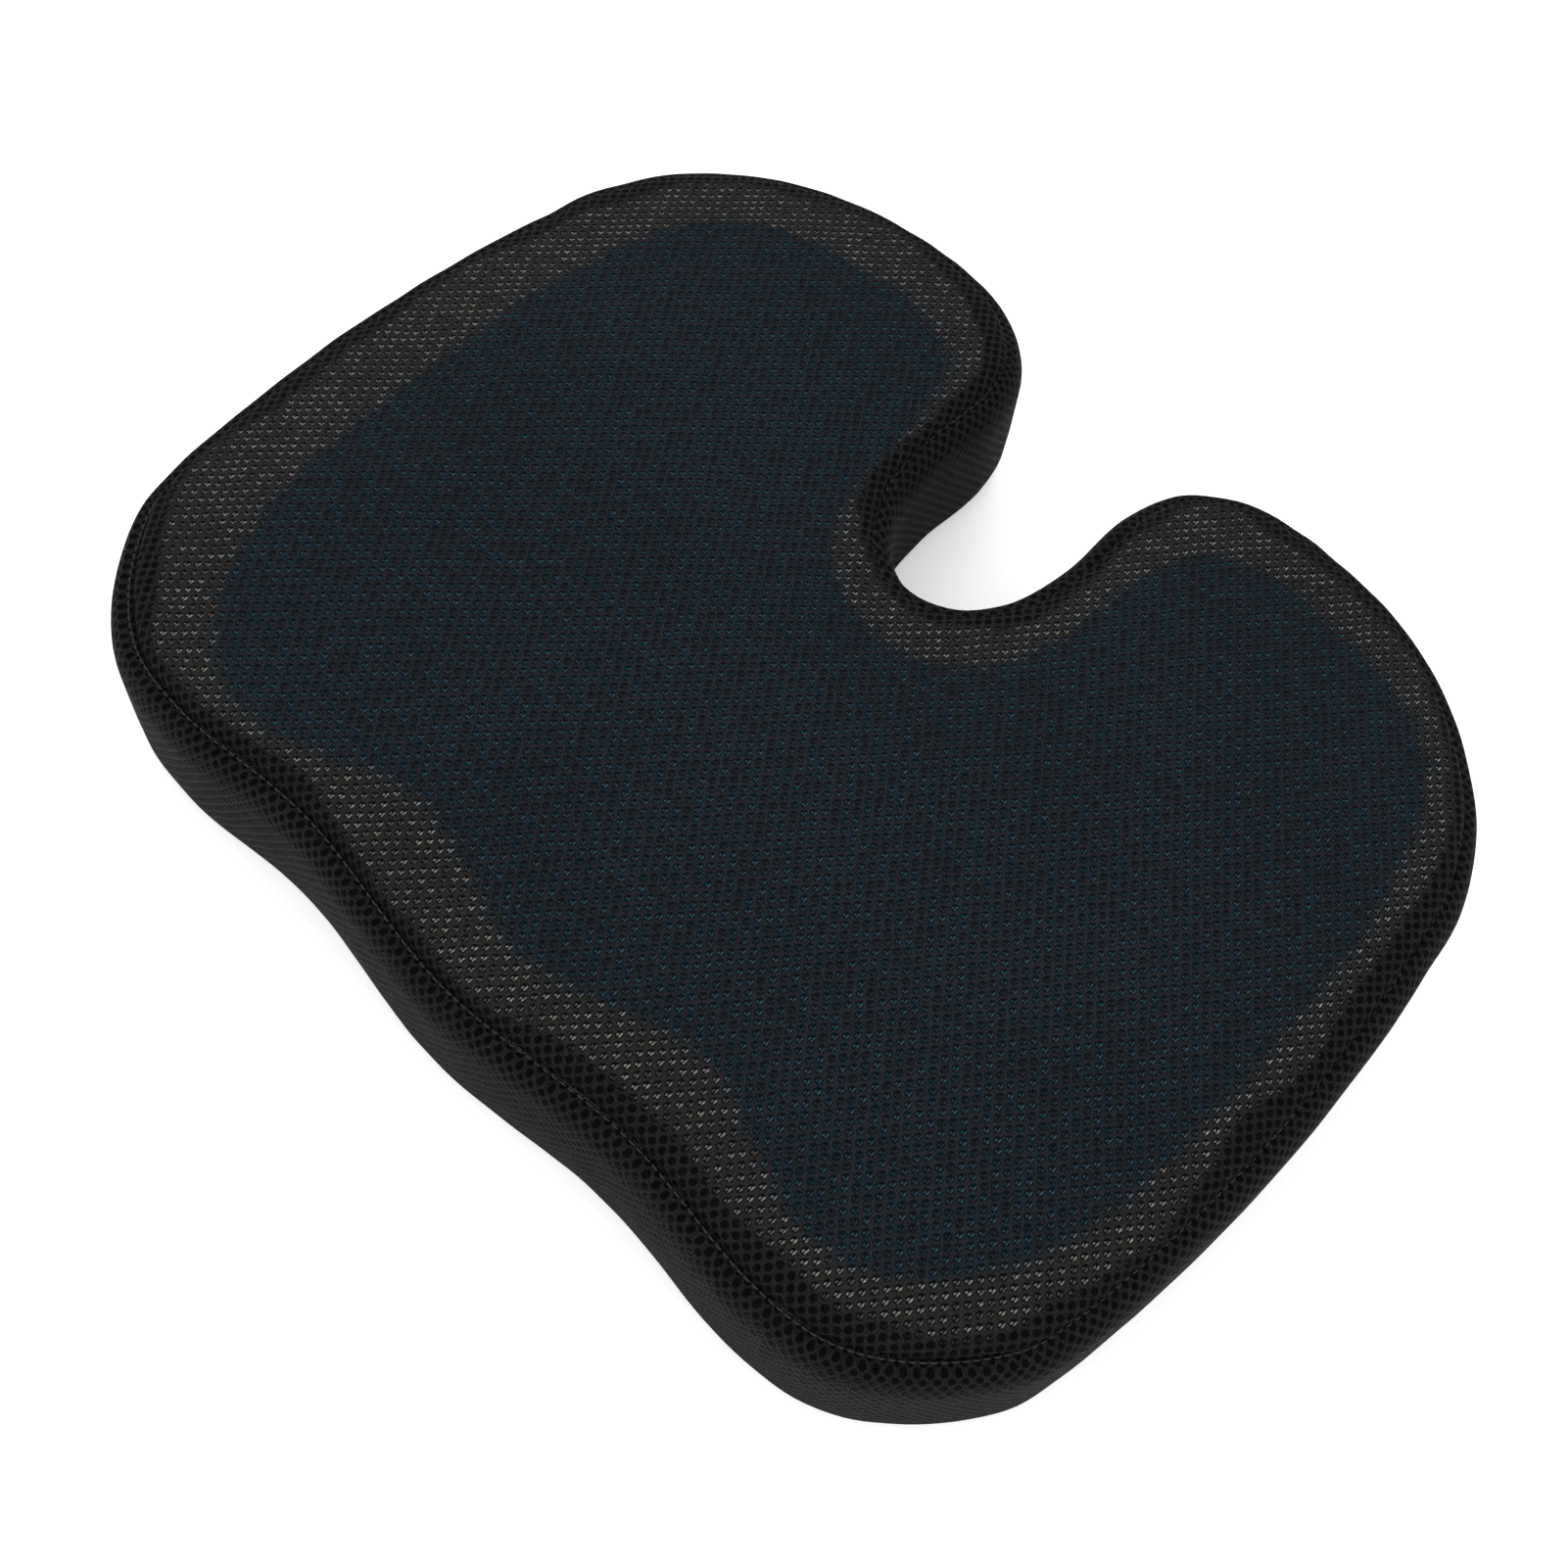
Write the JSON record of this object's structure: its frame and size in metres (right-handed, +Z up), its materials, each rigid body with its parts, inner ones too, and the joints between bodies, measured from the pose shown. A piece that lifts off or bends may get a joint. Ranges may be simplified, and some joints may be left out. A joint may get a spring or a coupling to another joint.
{
  "type": "seat cushion",
  "caption": "U-notched seat cushion: contoured foam core with a gel pad in a zipped black spacer-mesh cover with a non-slip base.",
  "frame": {"origin": "on the floor under the middle of the cushion's bounding box", "axes": "+X to the sitter's right across the width, +Y towards the back edge with the coccyx notch, +Z up"},
  "size_m": [0.448, 0.3524, 0.0695],
  "materials": {
    "foam": "open-cell beige memory foam",
    "gel": "satin moulded blue gel with a honeycomb face",
    "mesh": "black polyester spacer mesh",
    "grip": "black woven fabric with non-slip dots",
    "thread": "black polyester thread",
    "tape": "black woven zip tape",
    "coil": "black nylon coil",
    "zip_metal": "black enamelled zinc"
  },
  "bodies": {
    "cushion": {"foam_core": "foam", "gel_pad": "gel", "cover_top_panel": "mesh", "cover_front_band": "mesh", "cover_left_band": "mesh", "cover_right_band": "mesh", "cover_bottom_panel": "grip", "top_seam_thread": "thread", "bottom_seam_thread": "thread", "zip_tape_upper": "tape", "zip_tape_lower": "tape", "zip_coil_upper": "coil", "zip_coil_lower": "coil", "zip_top_stop_upper": "zip_metal", "zip_top_stop_lower": "zip_metal", "zip_bottom_stop": "zip_metal"},
    "slider": {"zip_slider": "zip_metal"},
    "pull_tab": {"zip_pull_tab": "zip_metal"}
  },
  "joints": [
    {"name": "zip_slide", "type": "hinge", "parent": "cushion", "child": "slider", "pos_m": [0.336, -0.017, 0.027], "axis": [0, 0, 1], "range_deg": [0, 15.5]},
    {"name": "pull_tab_flip", "type": "hinge", "parent": "slider", "child": "pull_tab", "pos_m": [-0.21915, 0.07142, 0.027], "axis": [0, 0, -1], "range_deg": [0, 180]}
  ]
}
